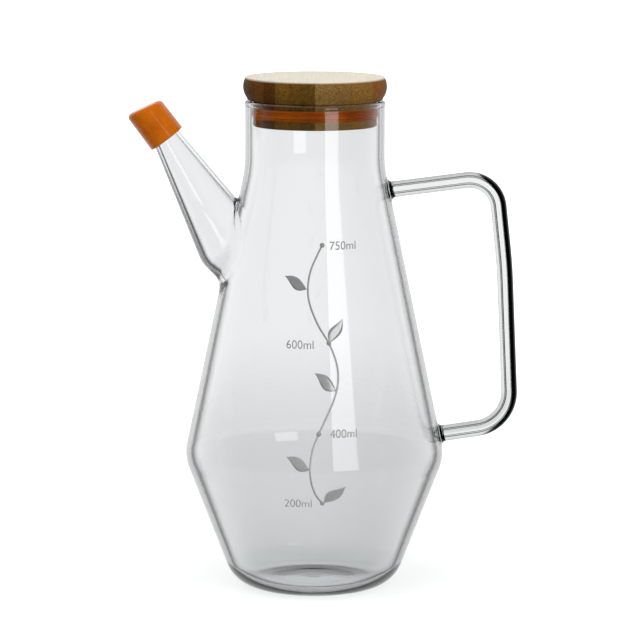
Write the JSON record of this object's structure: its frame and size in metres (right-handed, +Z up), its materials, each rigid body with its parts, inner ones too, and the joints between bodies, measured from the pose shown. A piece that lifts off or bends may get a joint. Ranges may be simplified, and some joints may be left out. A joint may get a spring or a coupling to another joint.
{
  "type": "glass oil pot",
  "caption": "Tapered clear glass oil pot with a slanting spout, a rod handle, a bamboo stopper with a seal ring, a silicone spout cap and a printed volume scale.",
  "frame": {"origin": "on the axis of the glass body, in the plane of its foot ring", "axes": "+Z up along the body's axis, the spout towards -X, the handle towards +X"},
  "size_m": [0.1572, 0.1042, 0.2076],
  "materials": {
    "clear_glass": "clear, polished borosilicate glass",
    "bamboo": "laminated bamboo, turned and sanded",
    "brown_silicone": "satin translucent silicone",
    "amber_silicone": "satin translucent silicone"
  },
  "bodies": {
    "root": {"glass_pot": "clear_glass", "bamboo_lid": "bamboo", "seal_ring": "brown_silicone", "spout_cap": "amber_silicone"}
  },
  "joints": []
}
